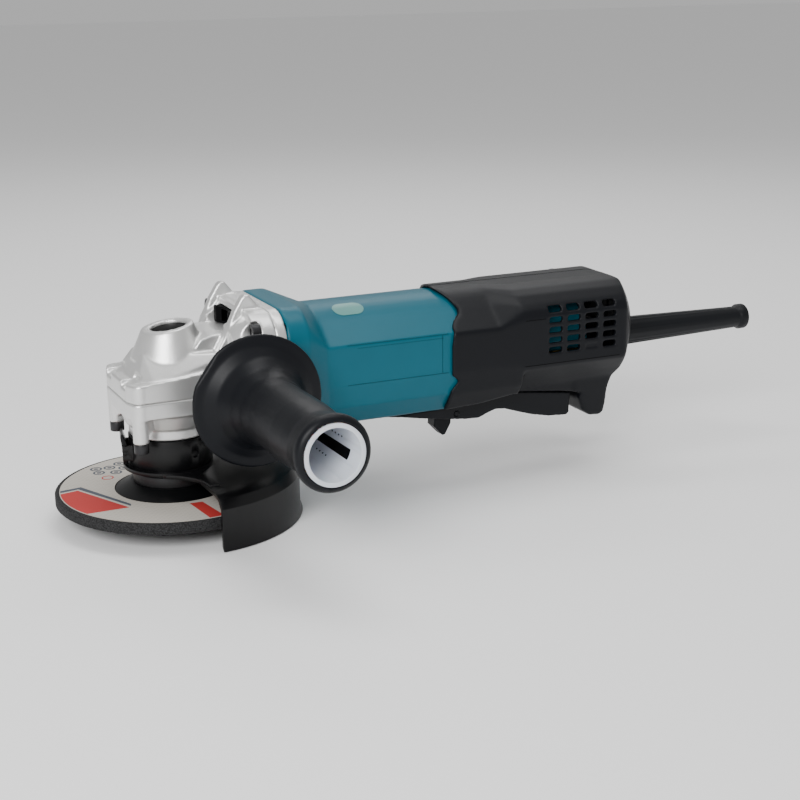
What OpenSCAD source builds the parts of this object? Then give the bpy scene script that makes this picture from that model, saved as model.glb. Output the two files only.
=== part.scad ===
// Angle grinder with a paddle switch, a side handle and a grinding wheel.
// Frame: +X towards the rear handle, +Y to the tool's right, +Z up.
// Origin: on the spindle axis, in the plane of the wheel's working face.

/* [Wheel and guard] */
// Diameter of the grinding wheel
wheel_d = 127; // [115:1:127]
// Thickness of the grinding wheel
wheel_t = 6; // [5:0.5:6.5]
// Outer radius of the guard's skirt
guard_r = 69.5; // [69:0.5:72]
// Angle that the guard covers
guard_angle = 172; // [150:2:178]

/* [Body] */
// Height of the body's middle, and of the head's parting line
mid_z = 61; // [61:0.5:61.5]
// Height of the motor axis above the wheel's working face
axis_z = 66; // [66:0.5:66.5]
// Radius of the motor housing's round top
barrel_r = 39; // [38.5:0.5:40]
// Half width of the motor housing's side panels
panel_y = 36.5; // [36:0.5:37.5]
// Half width of the motor flange
flange_half_y = 42.5; // [42:0.5:43.5]
// Half height of the motor flange
flange_half_z = 38.5; // [38.5:0.5:40]
// Rear face of the handle
rear_x = 281; // [281:1:286]
// Free end of the cord guard
boot_end_x = 378; // [370:1:390]

/* [Side handle] */
// Distance of the side handle's axis behind the spindle
side_x = 32.5; // [31:0.5:33]
// Height of the side handle's axis
side_z = 62.5; // [61:0.5:63]
// Distance of the grip's end from the spindle
grip_end = 156; // [148:1:158]
// Radius of the hand guard on the grip
hand_guard_r = 35.8; // [34:0.5:38]

/* [Gears] */
// Teeth on the armature's pinion
pinion_teeth = 13; // [13]
// Teeth on the spindle's gear
gear_teeth = 41; // [41]

/* [Hidden] */
$fn = 64;

// Small gaps: running fits, and clearances between fixed and moving parts
run = 0.05;
gap = 0.4;

// Wheel stack on the spindle
hub_rise = 4.7;
hub_r = 31;
flange_r = 21;
bore_r = 11.1;
thread_r = 7;
flange_top = 16.5;
nose_r = 6;
nose_len = 3;

// Head
head_y = 28;
head_front = -28.5;
parting_z = mid_z;
post_x = 22.8;
post_y = 23.7;
post_r = 4.5;
post_z = 39.3;
box_ring_r = 22;
box_ring_z = 37.5;
neck_r = 20;
lever_angle = 166;
flange_x0 = 36;
plate_x0 = 48;
motor_x0 = 54;
flange_corner = 18;
screw_y = 36;
screw_z = 29.5;
window_z = 96.5;
button_x = 2;
button_r = 9.5;
button_top = 93.8;
button_tilt = 8.5;
pin_x = -9;
pin_r = 2.5;

// Bearings: shaft radius, outer radius and width
spindle_brg = [7.5, 17.5, 11];
front_brg = [5, 13, 8];
rear_brg = [4, 11, 7];
spindle_brg_z = 29.5;
front_brg_x = 46;
rear_brg_x = 166;

// Gear pair: pitch cones meet where the axes cross
gear_pitch_r = 21;
pinion_pitch_r = gear_pitch_r * pinion_teeth / gear_teeth;
cone_slope = pinion_pitch_r / gear_pitch_r;
add_slope = 0.75 / gear_pitch_r;
ded_slope = 1.25 / gear_pitch_r;

// Motor
core_x0 = 80;
core_len = 50;
rotor_r = 16.8;
stator_bore = 17.3;
stator_r = 28.4;
com_x0 = 142;
com_len = 15;
com_r = 11;

// Rear handle
handle_x0 = 152.5;
cover_gap = 2.2;
wall = 2.6;
pivot_x = 108;
pivot_z = 36.4;
pivot_r = 1.2;
plunger_x = 202;
lock_pin_x = 164.6;
lock_pin_z = 29.7;
paddle_y = 20;
boot_r = 8.7;
boot_tip_r = 6.6;
cord_r = 4.2;

// Side handle
stud_r = 5;
thread_core_r = 4.25;
boss_y = 44;

// ---------- helper shapes ----------

// Extrudes a section given as y and z along +X
module along_x(x0, len) {
    translate([x0, 0, 0]) rotate([90, 0, 90]) linear_extrude(len) children();
}

// Extrudes a side view given as x and z across Y, centred on y = 0
module across_y(width) {
    translate([0, width / 2, 0]) rotate([90, 0, 0]) linear_extrude(width) children();
}

// Round bar or bore on the motor axis
module motor_cyl(x0, len, r) {
    translate([x0, 0, axis_z]) rotate([0, 90, 0]) cylinder(h = len, r = r);
}

// Cone on the motor axis
module motor_cone(x0, len, r1, r2) {
    translate([x0, 0, axis_z]) rotate([0, 90, 0]) cylinder(h = len, r1 = r1, r2 = r2);
}

// Round bar or cone on the middle line of the body
module body_cyl(x0, len, r) {
    translate([x0, 0, mid_z]) rotate([0, 90, 0]) cylinder(h = len, r = r);
}

module body_cone(x0, len, r1, r2) {
    translate([x0, 0, mid_z]) rotate([0, 90, 0]) cylinder(h = len, r1 = r1, r2 = r2);
}

// Square with round corners, in 2D
module round_square(half_x, half_y, corner) {
    square([2 * half_x, 2 * (half_y - corner)], center = true);
    square([2 * (half_x - corner), 2 * half_y], center = true);
    for (sx = [-1, 1], sy = [-1, 1])
        translate([sx * (half_x - corner), sy * (half_y - corner)]) circle(r = corner);
}

// Motor flange outline, a size smaller or larger by grow
module flange_outline(grow) {
    translate([0, axis_z])
        round_square(flange_half_y + grow, flange_half_z + grow, flange_corner + grow);
}

// Points of an arc, from angle a0 to a1 in n steps
function arc(cx, cy, r, a0, a1, n) =
    [for (i = [0:n]) [cx + r * cos(a0 + (a1 - a0) * i / n), cy + r * sin(a0 + (a1 - a0) * i / n)]];

// Left-right mirror of a half outline, as one closed outline
function both_sides(half) =
    concat(half, [for (i = [len(half) - 1:-1:0]) [-half[i][0], half[i][1]]]);

// Motor housing section, a size larger by grow
function barrel_section(grow) = both_sides(concat(
    arc(0, mid_z, barrel_r + grow, 90, 46, 8),
    [[panel_y + grow, mid_z + 21], [panel_y + grow, mid_z - 1.5],
     [34 + grow, mid_z - 14], [25 + grow, mid_z - 25.5 - grow], [23, mid_z - 26.5 - grow]]));

// Grip section of the rear handle, a size larger by g
function grip_section(g) = both_sides(
    [[0, 102.2 + g], [13, 101.2 + g], [21 + 0.2 * g, 99.2 + g], [28 + 0.5 * g, 96.5 + 0.9 * g],
     [33.6 + 0.7 * g, 93 + 0.7 * g], [37 + 0.9 * g, 89.5 + 0.4 * g], [38.7 + g, 85.5],
     [38.7 + g, 56.5], [31 + g, 48], [25.5 + g, 41], [23 + g, 33], [23 + g, 27]]);

// Ring with a groove for the balls: one race of a ball bearing on +Z
module race(r_in, r_out, width, ball_r, ball_pitch) {
    rotate_extrude() difference() {
        translate([r_in, 0]) square([r_out - r_in, width]);
        translate([ball_pitch, width / 2]) circle(r = ball_r + run);
    }
}

// Ball set of a bearing on +Z
module ball_set(pitch, width, ball_r, count) {
    for (i = [0:count - 1])
        rotate([0, 0, 360 * i / count]) translate([pitch, 0, width / 2]) sphere(r = ball_r);
}

function ball_pitch(brg) = (brg[0] + brg[1]) / 2;
function ball_radius(brg) = (brg[1] - brg[0]) * 0.29;

module outer_race(brg) {
    rb = ball_radius(brg);
    race(ball_pitch(brg) + rb * 0.55, brg[1], brg[2], rb, ball_pitch(brg));
}

module inner_race(brg) {
    rb = ball_radius(brg);
    race(brg[0], ball_pitch(brg) - rb * 0.55, brg[2], rb, ball_pitch(brg));
}

// Moves a +Z bearing onto the motor axis
module on_motor(x0) {
    translate([x0, 0, axis_z]) rotate([0, 90, 0]) children();
}

// Coil spring drawn as a stack of closed rings, from z = 0
module spring_rings(len, r, wire_r, turns) {
    for (i = [0:turns - 1])
        translate([0, 0, wire_r + (len - 2 * wire_r) * i / (turns - 1)])
            rotate_extrude($fn = 32) translate([r, 0]) circle(r = wire_r, $fn = 16);
}

// Socket head screw along -Z from its seat, head on top
module cap_screw(r, len, head_r, head_h) {
    translate([0, 0, -len]) cylinder(h = len, r = r, $fn = 24);
    difference() {
        cylinder(h = head_h, r = head_r, $fn = 32);
        translate([0, 0, head_h * 0.4]) cylinder(h = head_h, r = head_r * 0.5, $fn = 6);
    }
}

// ---------- gear head ----------

// Outline of the head's lower block, with its four screw posts
module head_outline() {
    polygon([[head_front, -19], [head_front + 2, -head_y + 3], [head_front + 8, -head_y],
        [28, -head_y], [28, head_y], [head_front + 8, head_y],
        [head_front + 2, head_y - 3], [head_front, 19]]);
    for (sy = [-1, 1])
        translate([-post_x + 0.6, sy * post_y]) circle(r = post_r);
}

// Rear block of the gear housing: its flange and the two fins on top
module gear_flange() {
    along_x(flange_x0, plate_x0 - flange_x0) flange_outline(0);
    hull() {
        along_x(flange_x0 + 1, 2) flange_outline(-3);
        along_x(flange_x0 - 8, 1)
            translate([0, axis_z]) round_square(31, 30, 14);
    }
    for (sy = [-1, 1])
        translate([0, sy * 19.6, 0]) across_y(5.4)
            polygon([[22, 84], [25.5, 90], [31.5, 103.6], [36, 110.8], [37.8, 112.4],
                [40.4, 112.2], [42.4, 109.6], [47.5, 103], [47.5, 84]]);
}

// Tower of the shaft lock button, with a sloping top
module button_tower() {
    difference() {
        translate([button_x, 0, mid_z + 18]) cylinder(h = 20, r1 = 21, r2 = 12.4);
        translate([button_x, 0, button_top + 1.8]) rotate([0, -button_tilt, 0])
            translate([-30, -30, 0]) cube([60, 60, 20]);
    }
}

module gear_housing() {
    color("silver") difference() {
        union() {
            // Lower rim and the sloping shoulders above it
            intersection() {
                translate([0, 0, parting_z]) linear_extrude(18) head_outline();
                across_y(90) polygon([[head_front - 5, 60], [head_front - 5, 70.4], [-19, 71.3],
                    [0, 73], [28, 76.6], [28, 60]]);
            }
            hull() {
                translate([0, 0, parting_z + 9]) linear_extrude(1)
                    polygon([[-22, -19], [-15, -25.5], [30, -27.5],
                        [30, 27.5], [-15, 25.5], [-22, 19]]);
                translate([0, 0, parting_z + 21]) linear_extrude(1)
                    polygon([[-16, -10], [0, -17], [30, -25], [30, 25], [0, 17], [-16, 10]]);
            }
            button_tower();
            // Ridge that carries the air outlet
            across_y(34) polygon([[10, 84], [14, 89.5], [20, 91.2], [26.5, 91.6], [36, 102.4],
                [40, 105.2], [47.5, 106], [47.5, 84]]);
            gear_flange();
            // Bosses for the side handle, one on each side
            translate([side_x, 0, side_z]) rotate([90, 0, 0])
                cylinder(h = 2 * boss_y, r = 9.5, center = true);
        }
        // Pockets beside the two front screw posts
        for (sy = [-1, 1])
            translate([head_front - 2, sy * 13.8 - 4.6, 66.2]) rotate([0, -26, 0])
                cube([13, 9.2, 16]);
        // Space of the bearing box below
        translate([-40, -30, 0]) cube([67.5, 60, parting_z]);
        translate([-40, -60, 0]) cube([60, 120, parting_z]);
        // Gear chamber and pinion chamber
        translate([0, 0, parting_z - 1]) cylinder(h = 6, r = 22.8);
        motor_cyl(8, plate_x0 - 8 + 1, 14.5);
        motor_cyl(30, plate_x0 - 30 + 1, 20);
        // Seat of the spindle bush
        translate([0, 0, mid_z]) cylinder(h = 14, r = 5.6);
        // Button bore, its flange space, spring pocket and pin guide
        translate([button_x, 0, mid_z + 28.5]) cylinder(h = 14, r = button_r + 0.3);
        translate([button_x, 0, mid_z + 18.5]) cylinder(h = 10.2, r = 12.8);
        translate([button_x, 0, mid_z + 15.5]) cylinder(h = 4, r = 6.5);
        translate([pin_x, 0, mid_z - 1]) cylinder(h = 21, r = pin_r + run);
        translate([pin_x, 0, mid_z + 18.5]) cylinder(h = 10.2, r = pin_r + gap);
        // Air outlet: window at the front, channel back to the fan
        along_x(20, plate_x0 - 20 + 1)
            translate([0, window_z]) round_square(14, 5, 2);
        // Thin inside of the flange around the fan's air
        along_x(42, plate_x0 - 42 + 1) difference() {
            flange_outline(-6);
            translate([0, axis_z]) circle(r = 24);
            for (sy = [-1, 1], sz = [-1, 1])
                translate([sy * screw_y, axis_z + sz * screw_z]) circle(r = 8);
        }
        // Side handle threads, right and left
        for (sy = [-1, 1])
            translate([side_x, sy * boss_y, side_z]) rotate([sy * 90, 0, 0])
                translate([0, 0, -1]) cylinder(h = 15, r = thread_core_r);
        // Corner notches and holes of the four housing screws
        for (sy = [-1, 1], sz = [-1, 1])
            translate([20, sy * screw_y, axis_z + sz * screw_z]) rotate([0, 90, 0]) {
                cylinder(h = 20, r = 5.2);
                cylinder(h = 40, r = 2.1);
            }
    }
}

module gear_housing_screws() {
    color("#1c1c1e") for (sy = [-1, 1], sz = [-1, 1])
        translate([40, sy * screw_y, axis_z + sz * screw_z]) rotate([0, -90, 0])
            cap_screw(2.1, 24, 4.2, 4.5);
}

module bearing_plate() {
    color("silver") difference() {
        union() {
            along_x(plate_x0, motor_x0 - plate_x0) flange_outline(-0.3);
            motor_cyl(front_brg_x - 2, motor_x0 - front_brg_x + 2, 17);
        }
        motor_cyl(front_brg_x, front_brg[2] + 1, front_brg[1]);
        motor_cyl(40, 20, 9);
        // Air slots around the hub
        for (s = [-1, 1])
            along_x(plate_x0 - 1, 8) translate([0, axis_z + s * 28]) round_square(16, 7, 3);
        for (sy = [-1, 1], sz = [-1, 1])
            translate([plate_x0 - 1, sy * screw_y, axis_z + sz * screw_z]) rotate([0, 90, 0])
                cylinder(h = 10, r = 2.1);
    }
}

module bearing_box() {
    color("silver") difference() {
        union() {
            translate([0, 0, 52]) linear_extrude(parting_z - 52) intersection() {
                head_outline();
                translate([-40, -40]) square([66.5, 80]);
            }
            translate([0, 0, 43.6]) cylinder(h = 9, r1 = 23.5, r2 = 27);
            translate([0, 0, box_ring_z]) cylinder(h = 8, r = box_ring_r);
            translate([0, 0, 22]) cylinder(h = 16, r = neck_r);
            // Screw posts and the webs that join them
            for (sx = [-1, 1], sy = [-1, 1]) {
                translate([sx * post_x, sy * post_y, post_z])
                    cylinder(h = parting_z - post_z, r = post_r - 0.3);
                translate([0, 0, 44]) linear_extrude(9)
                    polygon([[0, 0], [sx * (post_x + 1), sy * (post_y - 4)],
                        [sx * (post_x - 4), sy * (post_y + 2)]]);
            }
        }
        // Gear chamber, bearing seat, retainer thread and spindle opening
        translate([0, 0, 45.5]) cylinder(h = 20, r = 22.9);
        translate([0, 0, spindle_brg_z]) cylinder(h = 20, r = spindle_brg[1]);
        translate([0, 0, 20]) cylinder(h = 12, r = spindle_brg[1] - 0.5);
        translate([21.4, -14.5, 46.8]) cube([8, 29, 20]);
        for (sx = [-1, 1], sy = [-1, 1])
            translate([sx * post_x, sy * post_y, 30]) cylinder(h = 40, r = 2);
        // Key slots for the guard
        for (a = [60, 180, 300])
            rotate([0, 0, a]) translate([neck_r - 1, -2, 20]) cube([2, 4, 10]);
    }
}

module bearing_box_screws() {
    color("#1c1c1e") for (sx = [-1, 1], sy = [-1, 1])
        translate([sx * post_x, sy * post_y, post_z]) rotate([180, 0, 0]) cap_screw(2, 20, 3.9, 5.3);
}

module bearing_retainer() {
    color("dimgray") translate([0, 0, 24]) difference() {
        cylinder(h = spindle_brg_z - 24, r = spindle_brg[1] - 0.5);
        translate([0, 0, -1]) cylinder(h = 10, r = 10);
        for (a = [0, 180])
            rotate([0, 0, a]) translate([14, 0, -1]) cylinder(h = 4, r = 1.5, $fn = 24);
    }
}

module spindle_bush() {
    color("peru") translate([0, 0, mid_z + 3.5]) difference() {
        cylinder(h = 9.5, r = 5.6);
        translate([0, 0, -1]) cylinder(h = 12, r = 4 + run);
    }
}

module exhaust_baffle() {
    color("#151517") difference() {
        along_x(32, 14) translate([0, window_z]) round_square(13.6, 4.6, 1.6);
        along_x(34, 20) translate([0, window_z]) round_square(12, 3.2, 1);
        translate([19, 0, window_z]) cylinder(h = 30, r = 16, center = true);
    }
}

module spindle_bearing_outer() {
    color("#b8bcc2") translate([0, 0, spindle_brg_z]) outer_race(spindle_brg);
}

module spindle_bearing_inner() {
    color("#b8bcc2") translate([0, 0, spindle_brg_z]) inner_race(spindle_brg);
}

module spindle_bearing_balls() {
    color("#d8dce0") translate([0, 0, spindle_brg_z])
        ball_set(ball_pitch(spindle_brg), spindle_brg[2], ball_radius(spindle_brg), 9);
}

// ---------- spindle and wheel ----------

module spindle() {
    color("#9a9ea4") {
        translate([0, 0, -nose_len]) cylinder(h = nose_len, r = nose_r);
        translate([0, 0, -nose_len - 0.6]) cylinder(h = 0.6, r1 = nose_r - 0.8, r2 = nose_r);
        cylinder(h = flange_top, r = thread_r);
        translate([0, 0, flange_top]) cylinder(h = spindle_brg_z - flange_top, r = 8.8);
        translate([0, 0, spindle_brg_z]) cylinder(h = spindle_brg[2], r = spindle_brg[0]);
        translate([0, 0, spindle_brg_z + spindle_brg[2]]) cylinder(h = 17.5, r = 5.2);
        translate([0, 0, 52]) cylinder(h = 22.4, r = 4);
    }
}

module drive_gear() {
    web_z = axis_z - 14.2;
    color("#8d9196") difference() {
        union() {
            translate([0, 0, spindle_brg_z + spindle_brg[2]])
                cylinder(h = web_z + 5 - spindle_brg_z - spindle_brg[2], r = 9);
            translate([0, 0, web_z]) cylinder(h = 5.2, r = 15);
            rotate_extrude() polygon([[13.9, web_z], [22, web_z],
                [22, axis_z - 22 * (cone_slope + ded_slope)],
                [13.9, axis_z - 13.9 * (cone_slope + ded_slope)]]);
            // Teeth: radial wedges cut to the tip cone
            intersection() {
                rotate_extrude() polygon([[13.9, web_z + 2], [22, web_z + 2],
                    [22, axis_z - 22 * (cone_slope - add_slope)],
                    [13.9, axis_z - 13.9 * (cone_slope - add_slope)]]);
                translate([0, 0, web_z + 1]) linear_extrude(14) polygon(
                    [for (i = [0:gear_teeth - 1], k = [0:3])
                        let (a = 360 / gear_teeth * (i + 0.5 + [-0.18, -0.18, 0.18, 0.18][k]))
                        let (r = [12, 24, 24, 12][k])
                        [r * cos(a), r * sin(a)]]);
            }
        }
        translate([0, 0, 30]) cylinder(h = 40, r = 5.2);
        // Holes for the shaft lock pin
        for (a = [0:90:270])
            rotate([0, 0, a]) translate([9, 0, 42]) cylinder(h = 20, r = pin_r + 0.5, $fn = 32);
    }
}

module inner_flange() {
    color("#1a1a1c") difference() {
        union() {
            translate([0, 0, wheel_t + hub_rise]) cylinder(h = flange_top - wheel_t - hub_rise, r = flange_r);
            translate([0, 0, wheel_t + 1]) cylinder(h = hub_rise, r = bore_r - 0.05);
        }
        cylinder(h = 40, r = thread_r);
    }
}

module grinding_wheel() {
    color("#3a3a3c") rotate_extrude() polygon([[bore_r, hub_rise], [22, hub_rise], [hub_r, 0],
        [wheel_d / 2 - 0.6, 0], [wheel_d / 2, 0.6], [wheel_d / 2, wheel_t - 0.6],
        [wheel_d / 2 - 0.6, wheel_t], [hub_r, wheel_t], [22.5, wheel_t + hub_rise],
        [bore_r, wheel_t + hub_rise]]);
}

module wheel_label() {
    color("#b9b2a4") translate([0, 0, wheel_t]) difference() {
        cylinder(h = 0.25, r = wheel_d / 2 - 2.5);
        translate([0, 0, -1]) cylinder(h = 3, r = hub_r + 0.5);
    }
}

module lock_nut() {
    color("#6d7075") difference() {
        union() {
            cylinder(h = hub_rise, r = 19.5);
            translate([0, 0, hub_rise]) cylinder(h = 1.8, r = bore_r - 0.05);
        }
        translate([0, 0, -1]) cylinder(h = 20, r = thread_r);
        for (a = [45, 225])
            rotate([0, 0, a]) translate([15, 0, -1]) cylinder(h = 4, r = 2.5, $fn = 32);
    }
}

// ---------- armature ----------

module armature_shaft() {
    color("#9a9ea4") {
        motor_cyl(10.2, 3.8, 3);
        motor_cyl(14, 16, 3.2);
        motor_cyl(30, 30, front_brg[0]);
        motor_cyl(60, 106, 5);
        motor_cyl(166, 8, rear_brg[0]);
    }
}

module pinion_gear() {
    root = cone_slope - ded_slope;
    tip = cone_slope + add_slope;
    color("#8d9196") difference() {
        union() {
            motor_cone(14, 7.5, 14 * root, 21.5 * root);
            motor_cyl(21.5, 8.5, 5.9);
            // Teeth: wedges cut to the tip cone, one of them pointing straight down
            intersection() {
                motor_cone(14, 7.5, 14 * tip, 21.5 * tip);
                translate([13, 0, axis_z]) rotate([0, 90, 0]) linear_extrude(10) polygon(
                    [for (i = [0:pinion_teeth - 1], k = [0:3])
                        let (a = 360 / pinion_teeth * (i + [-0.22, -0.1, 0.1, 0.22][k]))
                        let (r = [3.3, 8.2, 8.2, 3.3][k])
                        [r * cos(a), r * sin(a)]]);
            }
        }
        motor_cyl(10, 25, 3.2);
    }
}

module pinion_nut() {
    color("#6d7075") difference() {
        translate([10.4, 0, axis_z]) rotate([0, 90, 0]) cylinder(h = 3.4, r = 4.2, $fn = 6);
        motor_cyl(8, 8, 3);
    }
}

module front_bearing_outer() {
    color("#b8bcc2") on_motor(front_brg_x) outer_race(front_brg);
}

module front_bearing_inner() {
    color("#b8bcc2") on_motor(front_brg_x) inner_race(front_brg);
}

module front_bearing_balls() {
    color("#d8dce0") on_motor(front_brg_x)
        ball_set(ball_pitch(front_brg), front_brg[2], ball_radius(front_brg), 8);
}

module rear_bearing_outer() {
    color("#b8bcc2") on_motor(rear_brg_x) outer_race(rear_brg);
}

module rear_bearing_inner() {
    color("#b8bcc2") on_motor(rear_brg_x) inner_race(rear_brg);
}

module rear_bearing_balls() {
    color("#d8dce0") on_motor(rear_brg_x)
        ball_set(ball_pitch(rear_brg), rear_brg[2], ball_radius(rear_brg), 8);
}

module armature_core() {
    color("#5a5d62") along_x(core_x0, core_len) translate([0, axis_z]) difference() {
        circle(r = rotor_r);
        circle(r = 5);
        for (i = [0:11])
            rotate(30 * i) translate([11.5, -1.2]) square([10, 2.4]);
    }
}

module armature_windings() {
    color("#b5651d") {
        for (x0 = [core_x0 - 9, core_x0 + core_len])
            difference() {
                motor_cyl(x0, 9, 14.6);
                motor_cyl(x0 - 1, 11, 5);
            }
        for (i = [0:11])
            along_x(core_x0, core_len) translate([0, axis_z]) rotate(30 * i) translate([11.6, -1.1])
                square([3, 2.2]);
    }
}

module commutator() {
    color("#c17a3a") along_x(com_x0, com_len) translate([0, axis_z]) difference() {
        circle(r = com_r);
        circle(r = 5);
        for (i = [0:23])
            rotate(15 * i) translate([com_r - 1.5, -0.25]) square([3, 0.5]);
    }
}

module cooling_fan() {
    color("#e8e6df") difference() {
        union() {
            motor_cyl(57, 12, 9);
            motor_cyl(66.5, 2.5, 33);
            for (i = [0:14])
                translate([58, 0, axis_z]) rotate([24 * i, 0, 0]) rotate([0, 90, 0])
                    linear_extrude(9) polygon([[12, 3], [33, -1], [33, 0.8], [12, 4.8]]);
            motor_cone(60, 6.6, 9, 20);
        }
        motor_cyl(50, 30, 5);
    }
}

// ---------- motor housing ----------

module motor_housing() {
    color("#12809a") difference() {
        union() {
            along_x(motor_x0, 12) flange_outline(0);
            hull() {
                along_x(motor_x0 + 11, 1) flange_outline(0);
                along_x(motor_x0 + 24, 1) polygon(barrel_section(0));
            }
            along_x(motor_x0 + 24, 162 - motor_x0 - 24) polygon(barrel_section(0));
            // Spigot inside the handle and the carrier behind it
            along_x(162, 16) polygon(barrel_section(-1));
            along_x(178, 68) intersection() {
                translate([0, mid_z + 4]) circle(r = 29);
                translate([-40, mid_z + 1]) square([80, 60]);
            }
        }
        // Fan space, stator seat, brush space and carrier space
        along_x(motor_x0 - 1, 10) difference() {
            flange_outline(-3.2);
            for (sy = [-1, 1], sz = [-1, 1])
                translate([sy * screw_y, axis_z + sz * screw_z]) circle(r = 6);
        }
        motor_cyl(motor_x0 + 8, 7.6, 34.5);
        motor_cone(motor_x0 + 15.5, 5, 34, stator_r);
        motor_cyl(motor_x0 + 20, 62, stator_r);
        intersection() {
            along_x(136, 26) polygon(barrel_section(-2.8));
            translate([130, -50, 43]) cube([40, 100, 80]);
        }
        motor_cyl(150, 24, 14);
        along_x(180, 80) translate([0, mid_z + 4]) circle(r = 26.6);
        for (a = [25:50:335])
            translate([160, 0, axis_z]) rotate([a, 0, 0]) translate([0, 20, 0])
                rotate([0, 90, 0]) cylinder(h = 30, r = 4.5);
        // Front threads of the housing screws
        for (sy = [-1, 1], sz = [-1, 1])
            translate([motor_x0 - 1, sy * screw_y, axis_z + sz * screw_z]) rotate([0, 90, 0])
                cylinder(h = 12, r = 2.1);
        // Room for the paddle's front end, its pivots and the lock-off lever
        translate([110, -paddle_y - 0.8, 20]) cube([60, 2 * paddle_y + 1.6, 16]);
        translate([137, -paddle_y - 0.8, 20]) cube([60, 2 * paddle_y + 1.6, 19.6]);
        translate([160, -paddle_y - 0.8, 20]) cube([30, 2 * paddle_y + 1.6, 21.4]);
        for (s = [-1, 1]) {
            translate([pivot_x - 3.5, s * 16.4 - 4.4, 20]) cube([14, 8.8, 18.9]);
            translate([pivot_x, s * 17, pivot_z]) rotate([90, 0, 0])
                cylinder(h = 12, r = pivot_r, center = true, $fn = 32);
        }
        translate([142, -8, 20]) cube([31, 16, 21]);
        // Fine grooves that frame the side panel
        for (sy = [-1, 1]) {
            translate([92, sy * panel_y - 0.4, mid_z + 20.6]) cube([56, 0.8, 0.5]);
            translate([92, sy * panel_y - 0.4, mid_z - 1]) cube([56, 0.8, 0.5]);
            translate([147.5, sy * panel_y - 0.4, mid_z - 1]) cube([0.5, 0.8, 22]);
        }
    }
}

module label_plate() {
    color("#0f7a5a") intersection() {
        difference() {
            body_cyl(88, 24, barrel_r + 0.3);
            body_cyl(87, 26, barrel_r);
        }
        translate([100, 0, mid_z]) rotate([22, 0, 0])
            linear_extrude(60) round_square(9, 5.5, 5.4);
    }
}

module air_baffle() {
    color("#202226") difference() {
        motor_cone(motor_x0 + 15.6, 4, 33.6, 29.1);
        motor_cone(motor_x0 + 15.5, 4.2, 27.5, 23.5);
    }
}

module stator_core() {
    color("#7b7f85") along_x(core_x0, core_len) translate([0, axis_z]) difference() {
        circle(r = stator_r);
        circle(r = stator_bore);
        for (s = [-1, 1])
            translate([s * 20.5, 0]) round_square(4.2, 12, 3);
    }
}

module field_coils() {
    color("#b5651d") for (s = [-1, 1])
        difference() {
            along_x(core_x0 - 3.5, core_len + 7)
                translate([s * 20.5, axis_z]) round_square(3.8, 11.4, 3);
            motor_cyl(core_x0 - 10, core_len + 20, stator_bore + 0.3);
        }
}

module brush_holders() {
    color("#c9a227") for (s = [-1, 1])
        translate([com_x0 + com_len / 2, s * 19.5, axis_z]) difference() {
            cube([11, 13, 9], center = true);
            cube([8.2, 20, 6.2], center = true);
        }
}

module carbon_brushes() {
    color("#2b2b2d") for (s = [-1, 1])
        difference() {
            translate([com_x0 + com_len / 2, s * 17, axis_z]) cube([8, 13, 6], center = true);
            motor_cyl(com_x0 - 2, com_len + 4, com_r + 0.3);
        }
}

module brush_springs() {
    color("#9a9ea4") for (s = [-1, 1])
        translate([com_x0 + com_len / 2, s * 26.8, axis_z]) rotate([s * 90, 0, 0])
            spring_rings(2.8, 2.2, 0.4, 3);
}

module bearing_sleeve() {
    color("#202226") difference() {
        motor_cyl(rear_brg_x - 0.5, 8.5, 14);
        motor_cyl(rear_brg_x - 2, 9, rear_brg[1]);
        motor_cyl(rear_brg_x - 2, 12, 6);
    }
}

// ---------- rear handle ----------

// Side view of the handle, seen along y
module handle_side_view() {
    polygon(concat([[handle_x0 + 3, 104], [260, 104]],
        arc(rear_x - 20, 81, 21, 87, 0, 8),
        [[rear_x + 0.8, 75], [rear_x - 1, 66], [rear_x - 6, 56.5], [rear_x - 12, 48.5],
         [rear_x - 15.8, 41], [rear_x - 17.6, 34], [263.2, 19], [260.4, 16.8], [253.5, 17.2],
         [247.8, 21], [244, 30],
         [246, 33], [238, 34.5], [212, 37.8], [195, 40], [174, 36.4], [handle_x0, 35.4],
         [handle_x0, 48], [157, 54], [handle_x0, 58], [handle_x0, 75], [154, 85],
         [156.5, 87.5], [161.6, 90.5], [162, 93], [159, 98], [156, 101]]));
}

// Plan view of the handle, with rounded rear corners
module handle_plan_view() {
    polygon(both_sides_x(concat([[handle_x0, 45], [259, 45]], arc(rear_x - 21, 17, 22, 70, 0, 6))));
}

function both_sides_x(half) =
    concat(half, [for (i = [len(half) - 1:-1:0]) [half[i][0], -half[i][1]]]);

// Part of a section above the handle's side crease
module upper_part() {
    intersection() {
        children();
        translate([-60, 57]) square([120, 60]);
    }
}

// Round rear end of the handle above the foot, moved by back
module rear_dome(back) {
    translate([back, 0, 72]) rotate([0, 90, 0]) rotate_extrude()
        polygon([[0, handle_x0 - 10], [62, handle_x0 - 10], [62, 256], [52, 260.5], [43, 265.5],
            [36, 270], [30, 274.6], [25, 278], [20, 280.6], [14, 282], [0, 283]]);
    translate([handle_x0 - 10, -24 - back, 0]) cube([140, 48 + 2 * back, 50]);
}

// Outside of the handle as one block
module handle_outer() {
    intersection() {
        rear_dome(0);
        across_y(120) handle_side_view();
        linear_extrude(120) handle_plan_view();
        union() {
            along_x(handle_x0 - 1, 200 - handle_x0) polygon(barrel_section(cover_gap));
            // Round top swelling into the boxy grip
            hull() {
                along_x(183, 1) upper_part() polygon(barrel_section(cover_gap));
                along_x(198, 1) upper_part() polygon(grip_section(0));
            }
            along_x(198, 100) polygon(grip_section(0));
            // Foot behind the paddle, with sloping flanks
            along_x(240, 60) polygon([[-27, 46], [-20.5, 12], [20.5, 12], [27, 46]]);
        }
    }
}

// Screws that join the handle halves, as x and z
screw_points = [[183, 47], [252, 95.4], [236, 46], [257.6, 41.5]];

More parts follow.
